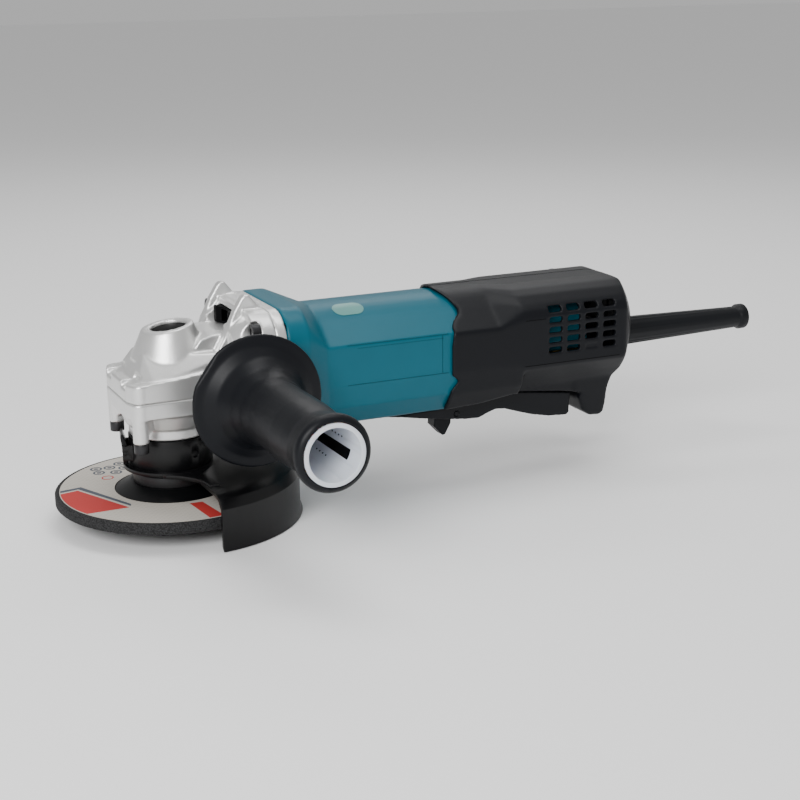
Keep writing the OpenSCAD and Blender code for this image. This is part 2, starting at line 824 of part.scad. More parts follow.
module handle_shell() {
    difference() {
        union() {
            difference() {
                handle_outer();
                handle_hollow();
            }
            // Screw bosses
            intersection() {
                handle_outer();
                for (p = screw_points)
                    translate([p[0], 0, p[1]]) rotate([90, 0, 0])
                        cylinder(h = 90, r = 4.2, center = true, $fn = 32);
            }
        }
        // Screw holes, from the right side
        for (p = screw_points) {
            translate([p[0], 60, p[1]]) rotate([90, 0, 0]) cylinder(h = 80, r = 1.8, $fn = 24);
            translate([p[0], 22, p[1]]) rotate([-90, 0, 0]) cylinder(h = 40, r = 3.7, $fn = 32);
        }
    }
}

// Space inside the handle, open at the front and along the bottom
module handle_hollow() {
    along_x(handle_x0 - 2, 12) polygon(barrel_section(0.02));
    along_x(handle_x0 + 8, 18) polygon(barrel_section(-0.9));
    intersection() {
        union() {
            along_x(handle_x0 + 8, 200 - handle_x0 - 8) polygon(barrel_section(cover_gap - wall));
            along_x(199, rear_x - 202) polygon(grip_section(-wall));
        }
        rear_dome(-3.2);
        linear_extrude(120) offset_plan();
        union() {
            across_y(120) polygon([[150, 36], [238, 36], [250, 42], [261, 48], [267, 56],
                [rear_x - 6.5, 62], [rear_x - 3.5, 74], [rear_x - 3.5, 82], [rear_x - 8, 91],
                [268, 96.5], [261, 99], [150, 110]]);
            // Slot that the paddle moves in
            translate([100, -paddle_y - 0.8, 10]) cube([144.5, 2 * paddle_y + 1.6, 40]);
        }
    }
    translate([100, -paddle_y - 0.8, 10]) cube([141, 2 * paddle_y + 1.6, 32]);
    // Cord guard seat
    body_cyl(rear_x - 19, 27, boot_r + 0.2);
    body_cyl(rear_x - 19, 7.2, boot_r + 3.2);
    // Air slots, four columns and five rows on each side
    for (sy = [-1, 1], col = [0:3], line = [0:4])
        if (!(col == 2 && line == 4))
            translate([218.8 + 12 * col, sy * 36, 89 - 5.9 * line]) cube([8.6, 16, 3.4], center = true);
    for (sy = [-1, 1])
        translate([218.8 + 24, sy * 39, 65.4]) cube([8.6, 1.4, 3.4], center = true);
}

module offset_plan() {
    polygon(both_sides_x(concat([[handle_x0 - 5, 42.4], [256, 42.4]],
        arc(rear_x - 24, 16, 21, 70, 0, 4))));
}

module rear_handle_left() {
    color("#1d1e21") intersection() {
        handle_shell();
        translate([100, -60, 0]) cube([250, 60, 130]);
    }
}

module rear_handle_right() {
    color("#1d1e21") intersection() {
        handle_shell();
        translate([100, 0, 0]) cube([250, 60, 130]);
    }
}

module rear_handle_screws() {
    color("#6d7075") for (p = screw_points)
        translate([p[0], 22, p[1]]) rotate([-90, 0, 0]) cap_screw(1.8, 40, 3.6, 2.4);
}

module switch_body() {
    color("#2b2b2d") difference() {
        union() {
            translate([188.4, -9, 46]) cube([42, 18, 22]);
            translate([190, -6, 68]) cube([8, 12, 3]);
            translate([216, -6, 68]) cube([8, 12, 3]);
        }
        translate([202, 0, 45]) cylinder(h = 21.5, r = 4 + run);
    }
}

module speed_module() {
    color("#24405c") translate([186, -16, 76]) cube([50, 32, 6]);
}

module capacitor() {
    color("#a98b2c") translate([234, -8, 52]) cube([18, 16, 12]);
}

module cord_guard() {
    color("#1a1b1e") difference() {
        union() {
            body_cyl(rear_x - 16, 4, boot_r + 3);
            body_cyl(rear_x - 16, 23, boot_r);
            body_cone(rear_x + 7, boot_end_x - rear_x - 16, boot_r, boot_tip_r);
            body_cyl(boot_end_x - 9.1, 5, boot_tip_r);
            body_cone(boot_end_x - 6, 2, boot_tip_r, 7.8);
            body_cyl(boot_end_x - 4, 4, 7.8);
        }
        body_cyl(rear_x - 17, 130, cord_r);
    }
}

module cord_clamp() {
    color("#2b2b2d") difference() {
        translate([254, -11, mid_z - 9]) cube([8, 22, 5]);
        body_cyl(246, 25, cord_r);
        for (s = [-1, 1])
            translate([258, s * 8, 40]) cylinder(h = 30, r = 1.6, $fn = 24);
    }
}

module cord_clamp_screws() {
    color("#9a9ea4") for (s = [-1, 1])
        translate([258, s * 8, mid_z - 4]) cap_screw(1.6, 10, 2.8, 2);
}

// ---------- paddle switch ----------

module switch_paddle() {
    color("#1b1c1f") difference() {
        union() {
            across_y(2 * paddle_y) polygon([[113, 33.8], [120, 33.4], [130, 32], [141, 29.9],
                [158, 27.2], [171, 25.6], [179, 25.2], [184, 27.2], [190, 29.1], [196, 28.6],
                [205, 25.6], [214.5, 22.6], [226, 20.2], [238, 19.4], [239.6, 21], [240.2, 33],
                [236, 33.6], [212, 36.8], [195, 38.8], [174, 35.2], [150, 34.2], [130, 33.4],
                [113, 34.8]]);
            // Two pivot eyes at the front
            for (s = [-1, 1])
                translate([0, s * 16.4, 0]) {
                    across_y(7.2)
                        polygon([[pivot_x, 34.2], [118, 33.3], [118, 34.8], [pivot_x, 38.6]]);
                    translate([pivot_x, 0, pivot_z]) rotate([90, 0, 0])
                        cylinder(h = 7.2, r = 2.2, center = true, $fn = 32);
                }
        }
        // Hollow inside of the paddle
        across_y(2 * paddle_y - 5) polygon([[128, 50], [129, 34.6], [140, 32.4], [160, 29.6],
            [178, 27.8], [190, 31.6], [206, 28.2], [226, 22.8], [236, 22.2], [236.5, 50]]);
        translate([pivot_x, 0, pivot_z]) rotate([90, 0, 0])
            cylinder(h = 60, r = pivot_r + run, center = true, $fn = 32);
        // Opening and pin holes of the lock-off lever
        translate([144, -5.2, 10]) cube([29.2, 10.4, 40]);
        translate([lock_pin_x, 0, lock_pin_z]) rotate([90, 0, 0])
            cylinder(h = 60, r = 1.6 + run, center = true, $fn = 32);
    }
    // Post that pushes the switch plunger
    color("#1b1c1f") translate([plunger_x - 5, -4, 28.2]) cube([10, 8, 10.6]);
}

module paddle_pin() {
    color("#9a9ea4") for (s = [-1, 1])
        translate([pivot_x, s * 17, pivot_z]) rotate([90, 0, 0])
            cylinder(h = 12, r = pivot_r, center = true, $fn = 32);
}

module lock_off_lever() {
    color("#151517") {
        difference() {
            union() {
                across_y(9.2) polygon([[158.6, 28.6], [157.6, 18.8], [163.4, 12.6],
                    [165, 13.2], [168.6, 19.6], [169, 29.7], [166.4, 36.6], [162.6, 36.6],
                    [161.4, 29.7]]);
                translate([lock_pin_x, 0, lock_pin_z]) rotate([90, 0, 0])
                    cylinder(h = 9.2, r = 3.6, center = true);
            }
            translate([lock_pin_x, 0, lock_pin_z]) rotate([90, 0, 0])
                cylinder(h = 30, r = 1.6, center = true, $fn = 32);
        }
        translate([lock_pin_x, 0, lock_pin_z]) rotate([90, 0, 0])
            cylinder(h = 2 * paddle_y, r = 1.6, center = true, $fn = 32);
    }
}

module switch_plunger() {
    color("#b33a2a") translate([plunger_x, 0, 39.2]) cylinder(h = 18, r = 4);
}

// ---------- shaft lock ----------

module lock_button() {
    color("#1c1c1e") {
        translate([button_x, 0, mid_z + 24.5]) cylinder(h = 3.6, r = 12.4);
        difference() {
            translate([button_x, 0, mid_z + 28]) cylinder(h = 10, r = button_r);
            translate([button_x, 0, button_top]) rotate([0, -button_tilt, 0])
                translate([-30, -30, 0]) cube([60, 60, 20]);
        }
        translate([pin_x, 0, axis_z - 7.6]) cylinder(h = mid_z + 25 - axis_z + 7.6, r = pin_r);
    }
}

module lock_spring() {
    color("#9a9ea4") translate([button_x, 0, mid_z + 15.7]) spring_rings(8.7, 5, 0.5, 5);
}

// ---------- guard ----------

module guard_cover() {
    color("#131416") union() {
        // Ring under the collar, all the way round
        translate([0, 0, 18.6]) difference() {
            cylinder(h = 2, r = 26);
            translate([0, 0, -1]) cylinder(h = 4, r = neck_r + 0.4);
        }
        // Cover plate and skirt around the rear of the wheel
        rotate([0, 0, -guard_angle / 2]) rotate_extrude(angle = guard_angle)
            polygon([[25, 18.6], [60.5, 17.2], [65, 15.6], [guard_r - 1.6, 11.5],
                [guard_r - 1.6, -8], [guard_r + 0.2, -10.4], [guard_r + 1.3, -10], [guard_r, -7.6],
                [guard_r, 12.4], [66.4, 17.2], [61.5, 19.2], [25, 20.6]]);
        // Fillets between the front ring and the plate's edges
        for (s = [-1, 1])
            translate([0, 0, 18.4]) linear_extrude(2) difference() {
                polygon([[0, s * 22], [10, s * 22], [10, s * 52], [2.5, s * 52], [-12, s * 23.1]]);
                circle(r = neck_r + 0.4);
                translate([-25, s * 51.5]) circle(r = 29.8);
            }
    }
}

module guard_collar() {
    color("#17181a") difference() {
        union() {
            translate([0, 0, 20.6]) cylinder(h = 16.4, r = 22.6);
            // Ears of the clamp lever
            rotate([0, 0, lever_angle]) for (s = [-1, 1])
                translate([15, s * 8 - 1, 24]) cube([11.2, 2, 8]);
        }
        translate([0, 0, 18]) cylinder(h = 30, r = neck_r + 0.4);
        // Rivet recess and the lever's pin hole
        rotate([0, 0, -72]) translate([24, 0, 29]) rotate([0, 90, 0]) cylinder(h = 6, r = 2.4, center = true);
        rotate([0, 0, lever_angle]) translate([24.6, 0, 28]) rotate([90, 0, 0])
            cylinder(h = 40, r = 1 + run, center = true, $fn = 24);
    }
}

module guard_lever() {
    color("#131416") rotate([0, 0, lever_angle]) {
        difference() {
            across_y(13) polygon([[23.2, 26], [23.4, 21.6], [25.9, 21.4], [26.2, 30], [27, 36.4],
                [26.6, 38], [25.6, 38], [24.8, 36], [23.2, 30.6]]);
            translate([24.6, 0, 28]) rotate([90, 0, 0]) cylinder(h = 40, r = 1, center = true, $fn = 24);
        }
        translate([24.6, 0, 28]) rotate([90, 0, 0]) cylinder(h = 18, r = 1, center = true, $fn = 24);
    }
}

// ---------- side handle ----------

// Places a shape whose +Z runs outwards along the side handle
module on_side() {
    translate([side_x, 0, side_z]) rotate([90, 0, 0]) children();
}

module side_handle_grip() {
    e = grip_end;
    color("#1b1c1f") on_side() difference() {
        rotate_extrude() polygon(concat(
            [[14.4, boss_y + 0.6], [24, boss_y + 0.6], [30, boss_y + 2], [hand_guard_r - 0.8, 50.4],
             [hand_guard_r, 51.6], [hand_guard_r - 0.6, 53], [30, 54], [24.5, 58], [20.5, 65], [18.2, 74],
             [17.4, 86], [17.6, 100], [17.8, 116], [17.2, 128], [16.6, 136], [17.4, 142]],
            arc(15.6, e - 4.5, 3.8, -20, 90, 6), [[15.6, e - 60]], [[14.4, e - 60]]));
        // Flat on the hand guard's upper front
        rotate([0, 0, 144]) translate([34, -40, 40]) cube([20, 80, 20]);
        // Shallow panels on both sides of the grip
        for (a = [180 + 60, 60])
            rotate([0, 0, a]) translate([17.3, -8.5, 80]) cube([3, 17, 52]);
    }
}

module side_handle_core() {
    e = grip_end;
    color("#eceef2") on_side() difference() {
        union() {
            translate([0, 0, e - 60]) cylinder(h = 59.4, r = 15.5);
            translate([0, 0, boss_y + 2]) cylinder(h = e - 60 - boss_y - 2, r = 14.3);
        }
        translate([0, 0, e - 52]) cylinder(h = 60, r1 = 11.5, r2 = 13.6);
        translate([-2.2, -9, e - 58]) cube([4.4, 18, 20]);
        for (s = [-1, 1], k = [0:2])
            translate([s * 5.4, k * 3 - 3, e - 53]) cylinder(h = 4, r = 0.6, $fn = 16);
        // Bolt head pocket and bolt hole
        translate([0, 0, boss_y]) cylinder(h = 36, r = stud_r);
    }
}

module side_handle_stud() {
    color("#9a9ea4") on_side() {
        translate([0, 0, boss_y - 12]) cylinder(h = 14, r = thread_core_r);
        translate([0, 0, boss_y + 0.2]) cylinder(h = 2, r = stud_r);
        translate([0, 0, boss_y + 2]) cylinder(h = 34, r = stud_r);
    }
}

gear_housing();
gear_housing_screws();
bearing_plate();
bearing_box();
bearing_box_screws();
bearing_retainer();
spindle_bush();
exhaust_baffle();
spindle_bearing_outer();
front_bearing_outer();
rear_bearing_outer();
motor_housing();
air_baffle();
stator_core();
field_coils();
brush_holders();
carbon_brushes();
brush_springs();
bearing_sleeve();
rear_handle_left();
rear_handle_right();
rear_handle_screws();
switch_body();
speed_module();
capacitor();
cord_guard();
cord_clamp();
cord_clamp_screws();
label_plate();
paddle_pin();
spindle();
drive_gear();
inner_flange();
grinding_wheel();
wheel_label();
lock_nut();
spindle_bearing_inner();
spindle_bearing_balls();
armature_shaft();
armature_core();
armature_windings();
commutator();
cooling_fan();
pinion_gear();
pinion_nut();
front_bearing_inner();
rear_bearing_inner();
front_bearing_balls();
rear_bearing_balls();
guard_cover();
guard_collar();
guard_lever();
side_handle_grip();
side_handle_core();
side_handle_stud();
lock_button();
lock_spring();
switch_paddle();
lock_off_lever();
switch_plunger();
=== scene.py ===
"""Angle grinder with a paddle switch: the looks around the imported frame.

Frame: +X towards the rear handle, +Y the tool's right, +Z up, metres.
The origin lies on the spindle axis in the plane of the wheel's working face.
"""

import math

import bmesh
import bpy
from mathutils import Matrix, Vector


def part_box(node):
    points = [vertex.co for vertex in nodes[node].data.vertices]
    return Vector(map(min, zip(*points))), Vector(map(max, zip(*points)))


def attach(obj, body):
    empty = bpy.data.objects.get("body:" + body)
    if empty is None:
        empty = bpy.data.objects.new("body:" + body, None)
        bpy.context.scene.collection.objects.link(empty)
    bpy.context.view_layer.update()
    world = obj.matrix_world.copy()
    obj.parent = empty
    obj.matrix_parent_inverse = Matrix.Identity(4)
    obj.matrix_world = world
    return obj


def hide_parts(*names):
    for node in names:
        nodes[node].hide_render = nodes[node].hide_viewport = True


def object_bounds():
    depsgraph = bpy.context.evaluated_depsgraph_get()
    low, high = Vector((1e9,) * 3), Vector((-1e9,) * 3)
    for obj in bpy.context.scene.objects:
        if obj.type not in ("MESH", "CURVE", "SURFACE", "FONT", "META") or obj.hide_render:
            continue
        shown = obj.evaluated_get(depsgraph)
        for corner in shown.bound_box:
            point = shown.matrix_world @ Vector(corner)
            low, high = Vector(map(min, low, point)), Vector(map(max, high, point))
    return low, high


MM = 0.001

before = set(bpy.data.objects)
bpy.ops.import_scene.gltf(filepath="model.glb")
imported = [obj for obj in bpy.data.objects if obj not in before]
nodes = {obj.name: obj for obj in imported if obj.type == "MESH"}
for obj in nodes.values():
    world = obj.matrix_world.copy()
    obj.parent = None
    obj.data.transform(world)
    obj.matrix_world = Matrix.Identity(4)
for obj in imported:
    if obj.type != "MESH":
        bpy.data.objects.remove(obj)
cad_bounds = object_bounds()


# ---------- materials ----------


def material(name, color, roughness, metallic=0.0, **sockets):
    """A Principled material with even values set straight on its sockets."""
    mat = bpy.data.materials.new(name)
    mat.use_nodes = True
    shader = mat.node_tree.nodes["Principled BSDF"]
    shader.inputs["Base Color"].default_value = (*color, 1)
    shader.inputs["Roughness"].default_value = roughness
    shader.inputs["Metallic"].default_value = metallic
    for key, value in sockets.items():
        shader.inputs[key.replace("_", " ")].default_value = value
    return mat


def add(mat, kind, **values):
    """A new node in mat, with inputs or settings by name."""
    node = mat.node_tree.nodes.new(kind)
    for key, value in values.items():
        if key.startswith("set_"):
            setattr(node, key[4:], value)
        else:
            node.inputs[key.replace("_", " ")].default_value = value
    return node


def join(mat, out, into):
    mat.node_tree.links.new(out, into)


def place(mat):
    """Object coordinates, in metres in the row frame."""
    return add(mat, "ShaderNodeTexCoord").outputs["Object"]


def shader_of(mat):
    return mat.node_tree.nodes["Principled BSDF"]


def noise(mat, size_mm, detail=3.0):
    """Noise with grains of about size_mm."""
    node = add(mat, "ShaderNodeTexNoise", Scale=1000 / size_mm, Detail=detail)
    join(mat, place(mat), node.inputs["Vector"])
    return node.outputs["Fac"]


def spread(mat, value, low, high):
    """Maps a 0 to 1 value to low to high."""
    node = add(mat, "ShaderNodeMapRange", To_Min=low, To_Max=high)
    join(mat, value, node.inputs["Value"])
    return node.outputs["Result"]


def grain_bump(mat, size_mm, depth_mm, strength=1.0):
    """Fine surface grain as bump, chained before any bump there is."""
    bump = add(mat, "ShaderNodeBump", Strength=strength, Distance=depth_mm * MM)
    join(mat, noise(mat, size_mm), bump.inputs["Height"])
    socket = shader_of(mat).inputs["Normal"]
    if socket.is_linked:
        join(mat, socket.links[0].from_socket, bump.inputs["Normal"])
    join(mat, bump.outputs["Normal"], socket)


def vary_roughness(mat, size_mm, low, high):
    join(mat, spread(mat, noise(mat, size_mm), low, high), shader_of(mat).inputs["Roughness"])


def mix_color(mat, factor, a, b):
    """Color a where factor is 0 and b where it is 1; each is a color or a socket."""
    node = add(mat, "ShaderNodeMix", set_data_type="RGBA")
    join(mat, factor, node.inputs["Factor"])
    for value, socket in ((a, node.inputs[6]), (b, node.inputs[7])):
        if isinstance(value, tuple):
            socket.default_value = (*value, 1)
        else:
            join(mat, value, socket)
    return node.outputs[2]


def vary_color(mat, size_mm, a, b):
    join(mat, mix_color(mat, noise(mat, size_mm), a, b), shader_of(mat).inputs["Base Color"])


def cast_aluminium():
    mat = material("cast_aluminium", (0.74, 0.74, 0.73), 0.38, 0.8)
    vary_color(mat, 9, (0.70, 0.70, 0.69), (0.78, 0.78, 0.77))
    vary_roughness(mat, 0.8, 0.27, 0.42)
    grain_bump(mat, 0.5, 0.09, 0.9)
    grain_bump(mat, 6.0, 0.12, 0.35)
    return mat


def moulded(name, color, roughness, grain_mm=0.35, depth_mm=0.02, **sockets):
    """Moulded plastic or rubber with a fine spark-eroded grain."""
    mat = material(name, color, roughness, **sockets)
    dark = tuple(0.93 * c for c in color)
    light = tuple(1.07 * c for c in color)
    vary_color(mat, 14, dark, light)
    vary_roughness(mat, 1.1, roughness - 0.04, roughness + 0.05)
    grain_bump(mat, grain_mm, depth_mm, 0.6)
    return mat


def machined(name, color, roughness, metallic=1.0):
    mat = material(name, color, roughness, metallic)
    vary_roughness(mat, 0.6, roughness - 0.06, roughness + 0.08)
    grain_bump(mat, 0.5, 0.01, 0.5)
    return mat


def gloss_black():
    mat = material("guard_paint", (0.002, 0.002, 0.0025), 0.3, Specular_IOR_Level=0.32)
    vary_color(mat, 10, (0.0016, 0.0016, 0.002), (0.003, 0.003, 0.0035))
    vary_roughness(mat, 2.0, 0.26, 0.36)
    grain_bump(mat, 1.6, 0.02, 0.25)
    return mat


def abrasive():
    mat = material("abrasive", (0.034, 0.034, 0.036), 0.85, Specular_IOR_Level=0.3)
    cells = add(mat, "ShaderNodeTexVoronoi", Scale=1400)
    join(mat, place(mat), cells.inputs["Vector"])
    ramp = add(mat, "ShaderNodeMapRange", From_Min=0.0, From_Max=0.7, To_Min=0.0, To_Max=1.0)
    join(mat, cells.outputs["Distance"], ramp.inputs["Value"])
    color = mix_color(mat, ramp.outputs["Result"], (0.048, 0.048, 0.05), (0.009, 0.009, 0.0095))
    join(mat, color, shader_of(mat).inputs["Base Color"])
    bump = add(mat, "ShaderNodeBump", Strength=1.0, Distance=0.5 * MM)
    join(mat, cells.outputs["Distance"], bump.inputs["Height"])
    join(mat, bump.outputs["Normal"], shader_of(mat).inputs["Normal"])
    return mat


def woven_label():
    """Printed paper over a glass-fibre mesh whose threads show through."""
    mat = material("wheel_label", (0.44, 0.41, 0.36), 0.7, Specular_IOR_Level=0.2)
    heights = []
    for turn in (45, -45):
        mapping = add(mat, "ShaderNodeMapping")
        mapping.inputs["Rotation"].default_value = (0, 0, math.radians(turn))
        join(mat, place(mat), mapping.inputs["Vector"])
        wave = add(mat, "ShaderNodeTexWave", Scale=130, Distortion=0.4, Detail=1.0)
        join(mat, mapping.outputs["Vector"], wave.inputs["Vector"])
        heights.append(wave.outputs["Fac"])
    both = add(mat, "ShaderNodeMath", set_operation="MAXIMUM")
    for height, socket in zip(heights, both.inputs):
        join(mat, height, socket)
    tone = mix_color(mat, both.outputs[0], (0.36, 0.335, 0.29), (0.45, 0.425, 0.38))
    patchy = mix_color(mat, noise(mat, 22), tone, (0.47, 0.44, 0.40))
    join(mat, patchy, shader_of(mat).inputs["Base Color"])
    bump = add(mat, "ShaderNodeBump", Strength=0.6, Distance=0.15 * MM)
    join(mat, both.outputs[0], bump.inputs["Height"])
    join(mat, bump.outputs["Normal"], shader_of(mat).inputs["Normal"])
    return mat


ALUMINIUM = cast_aluminium()
TEAL = moulded("teal_plastic", (0.0012, 0.094, 0.136), 0.38, 0.4, 0.015, Specular_IOR_Level=0.25)
# Darker teal for fine lines of painted shade along the creases of the housing's side panels
TEAL_CREASE_SHADE = moulded("teal_crease_shade", (0.002, 0.05, 0.07), 0.5, 0.4, 0.015, Specular_IOR_Level=0.2)
BLACK = moulded("black_plastic", (0.0034, 0.0040, 0.0058), 0.42, 0.4, 0.03, Specular_IOR_Level=0.2)
BLACK_RUBBER = moulded(
    "black_rubber", (0.0042, 0.0050, 0.0066), 0.45, 0.5, 0.03, Specular_IOR_Level=0.22)
DARK = moulded("dark_plastic", (0.0022, 0.0022, 0.0026), 0.6, 0.4, 0.02, Specular_IOR_Level=0.06)
HUB = moulded("hub_resin", (0.0022, 0.0024, 0.0028), 0.4, 0.5, 0.02, Specular_IOR_Level=0.25)
STICKER = moulded("sticker", (0.10, 0.26, 0.24), 0.3, 0.6, 0.004, Specular_IOR_Level=0.4)
PRINT_RED = moulded("print_red", (0.42, 0.035, 0.032), 0.6, 0.9, 0.02, Specular_IOR_Level=0.2)
PRINT_DARK = moulded("print_dark", (0.07, 0.08, 0.10), 0.6, 0.9, 0.02, Specular_IOR_Level=0.2)
WHITE = moulded("white_plastic", (0.62, 0.63, 0.68), 0.3, 0.6, 0.01, Subsurface_Weight=0.1)
RED_PLASTIC = moulded("red_plastic", (0.4, 0.03, 0.02), 0.4)
BLUE_PLASTIC = moulded("blue_plastic", (0.04, 0.10, 0.2), 0.35)
OCHRE_PLASTIC = moulded("ochre_plastic", (0.4, 0.26, 0.05), 0.35)
CREAM_PLASTIC = moulded("cream_plastic", (0.6, 0.58, 0.5), 0.4)
STEEL = machined("steel", (0.50, 0.51, 0.53), 0.28)
BRIGHT_STEEL = machined("bearing_steel", (0.68, 0.69, 0.71), 0.16)
BLACK_STEEL = machined("black_oxide", (0.03, 0.03, 0.032), 0.36, 0.6)
BRONZE = machined("bronze", (0.52, 0.33, 0.16), 0.35)
BRASS = machined("brass", (0.62, 0.46, 0.17), 0.28)
COPPER = machined("copper", (0.62, 0.27, 0.13), 0.32)
IRON = machined("iron_core", (0.22, 0.22, 0.23), 0.45)
CARBON = moulded("carbon", (0.02, 0.02, 0.022), 0.6)
GUARD_PAINT = gloss_black()
ABRASIVE = abrasive()
LABEL = woven_label()

CAD_MATERIALS = {
    ALUMINIUM: ["gear_housing", "bearing_plate", "bearing_box"],
    BLACK_STEEL: ["gear_housing_screws", "bearing_box_screws", "inner_flange"],
    STEEL: ["bearing_retainer", "spindle", "drive_gear", "lock_nut", "armature_shaft",
            "pinion_gear", "pinion_nut", "brush_springs", "rear_handle_screws",
            "cord_clamp_screws", "paddle_pin", "side_handle_stud", "lock_spring"],
    BRIGHT_STEEL: ["spindle_bearing_outer", "front_bearing_outer", "rear_bearing_outer",
                   "spindle_bearing_inner", "spindle_bearing_balls", "front_bearing_inner",
                   "rear_bearing_inner", "front_bearing_balls", "rear_bearing_balls"],
    BRONZE: ["spindle_bush"],
    BRASS: ["brush_holders"],
    COPPER: ["field_coils", "armature_windings", "commutator"],
    IRON: ["stator_core", "armature_core"],
    CARBON: ["carbon_brushes"],
    DARK: ["exhaust_baffle", "air_baffle", "switch_body", "cord_clamp", "lock_button"],
    BLACK_RUBBER: ["bearing_sleeve", "cord_guard"],
    BLACK: ["rear_handle_left", "rear_handle_right", "switch_paddle", "lock_off_lever",
            "side_handle_grip"],
    TEAL: ["motor_housing"],
    STICKER: ["label_plate"],
    LABEL: ["wheel_label"],
    WHITE: ["side_handle_core"],
    CREAM_PLASTIC: ["cooling_fan"],
    RED_PLASTIC: ["switch_plunger"],
    BLUE_PLASTIC: ["speed_module"],
    OCHRE_PLASTIC: ["capacitor"],
    ABRASIVE: ["grinding_wheel"],
    GUARD_PAINT: ["guard_cover", "guard_collar", "guard_lever"],
}


def paint_cad():
    for mat, names in CAD_MATERIALS.items():
        for name in names:
            obj = nodes[name]
            obj.data.materials.clear()
            obj.data.materials.append(mat)


# ---------- mesh tools ----------


def new_object(name, bm, mat):
    mesh = bpy.data.meshes.new(name)
    bm.to_mesh(mesh)
    bm.free()
    mesh.materials.append(mat)
    obj = bpy.data.objects.new(name, mesh)
    bpy.context.collection.objects.link(obj)
    return obj


def copy_of(name):
    """A bmesh holding a copy of this CAD node."""
    bm = bmesh.new()
    bm.from_mesh(nodes[name].data)
    bmesh.ops.remove_doubles(bm, verts=bm.verts, dist=1e-6)
    return bm


def add_prism(bm, outline, low, high):
    """Adds a flat-bottomed solid: outline is a loop of (x, y) in mm, low and high its heights."""
    bottom = [bm.verts.new(Vector((x, y, low)) * MM) for x, y in outline]
    top = [bm.verts.new(Vector((x, y, high)) * MM) for x, y in outline]
    bm.faces.new(bottom[::-1])
    bm.faces.new(top)
    for i in range(len(outline)):
        k = (i + 1) % len(outline)
        bm.faces.new((bottom[i], bottom[k], top[k], top[i]))


def add_line(bm, x0, x1, y, out, z0, z1):
    """Adds a fine line along X on a side face at y, standing out by out, in mm."""
    add_prism(bm, [(x0, y), (x1, y), (x1, y + out), (x0, y + out)], z0, z1)


def polar(radius, degrees):
    return radius * math.cos(math.radians(degrees)), radius * math.sin(math.radians(degrees))


def ring_quads(bm, at, inner, outer, low, high, steps=28):
    """Adds a flat ring around at, with its radii and heights in mm."""
    loops = []
    for radius, z in ((inner, low), (outer, low), (outer, high), (inner, high)):
        spots = [polar(radius, 360 * i / steps) for i in range(steps)]
        loops.append([bm.verts.new(Vector((at[0] + x, at[1] + y, z)) * MM) for x, y in spots])
    for k in range(4):
        a, b = loops[k], loops[(k + 1) % 4]
        for i in range(steps):
            j = (i + 1) % steps
            bm.faces.new((a[i], a[j], b[j], b[i]))


def apply_modifiers(obj):
    depsgraph = bpy.context.evaluated_depsgraph_get()
    mesh = bpy.data.meshes.new_from_object(obj.evaluated_get(depsgraph))
    old = obj.data
    obj.modifiers.clear()
    obj.data = mesh
    bpy.data.meshes.remove(old)


def soften(obj, voxel_mm, rounds, crisp=None):
    """Melts obj's solids into one skin with rounded edges, as a casting or moulding has.

    Inside the crisp box, given in mm as (low, high), the edges are hardly rounded.
    """
    remesh = obj.modifiers.new("skin", "REMESH")
    remesh.mode = "VOXEL"
    remesh.voxel_size = voxel_mm * MM
    remesh.adaptivity = 0.0
    apply_modifiers(obj)
    smooth = obj.modifiers.new("round", "SMOOTH")
    smooth.factor = 0.5
    smooth.iterations = rounds
    if crisp:
        low, high = (Vector(corner) * MM for corner in crisp)
        group = obj.vertex_groups.new(name="rounding")
        inside, outside = [], []
        for vert in obj.data.vertices:
            hit = all(low[i] < abs(vert.co[i]) < high[i] for i in range(3))
            (inside if hit else outside).append(vert.index)
        group.add(outside, 1.0, "REPLACE")
        group.add(inside, CRISP_SHARE, "REPLACE")
        smooth.vertex_group = group.name
    apply_modifiers(obj)
    obj.data.polygons.foreach_set("use_smooth", [True] * len(obj.data.polygons))
    return obj


def soft_replacement(name, node, body, mat, voxel_mm, rounds, crisp=None):
    """A rounded stand-in for a CAD node."""
    bm = copy_of(node)
    bmesh.ops.recalc_face_normals(bm, faces=bm.faces)
    obj = new_object(name, bm, mat)
    soften(obj, voxel_mm, rounds, crisp)
    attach(obj, body)
    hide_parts(node)
    return obj


def bevelled(name, node, body, mat, width_mm=0.35, segments=2):
    """A copy of a CAD node with rounded edges, for turned and pressed parts."""
    bm = copy_of(node)
    bmesh.ops.dissolve_limit(bm, angle_limit=math.radians(3), verts=bm.verts, edges=bm.edges)
    obj = new_object(name, bm, mat)
    mod = obj.modifiers.new("edge", "BEVEL")
    mod.width = width_mm * MM
    mod.segments = segments
    mod.limit_method = "ANGLE"
    mod.angle_limit = math.radians(32)
    mod.use_clamp_overlap = True
    apply_modifiers(obj)
    obj.data.polygons.foreach_set("use_smooth", [True] * len(obj.data.polygons))
    obj.data.set_sharp_from_angle(angle=math.radians(38))
    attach(obj, body)
    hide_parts(node)
    return obj


# ---------- pieces ----------

# Sizes in mm, in the row frame
HUB_EDGE = 31.6
HUB_LOW = 2
LABEL_EDGE = 61.0
PRINT_EDGE = LABEL_EDGE - 0.4
PANEL_SIDE = 36.5
GRIP_SIDE = 38.7
SIDE_HANDLE_X = 32.5
SIDE_HANDLE_Z = 62.5
SIDE_HANDLE_END = 156
CORE_MOUTH_R = 13.3
CORE_TAPER = 0.035
VENTS = ((212.5, 20, 61.5), (260.5, 60, 92.6))
# Share of the rounding that is left inside a crisp box
CRISP_SHARE = 0.06


def build_castings():
    soft_replacement("head_casting", "gear_housing", "housing", ALUMINIUM, 0.7, 5)
    soft_replacement("bearing_box_casting", "bearing_box", "housing", ALUMINIUM, 0.6, 4)
    soft_replacement("bearing_plate_casting", "bearing_plate", "housing", ALUMINIUM, 0.8, 2)


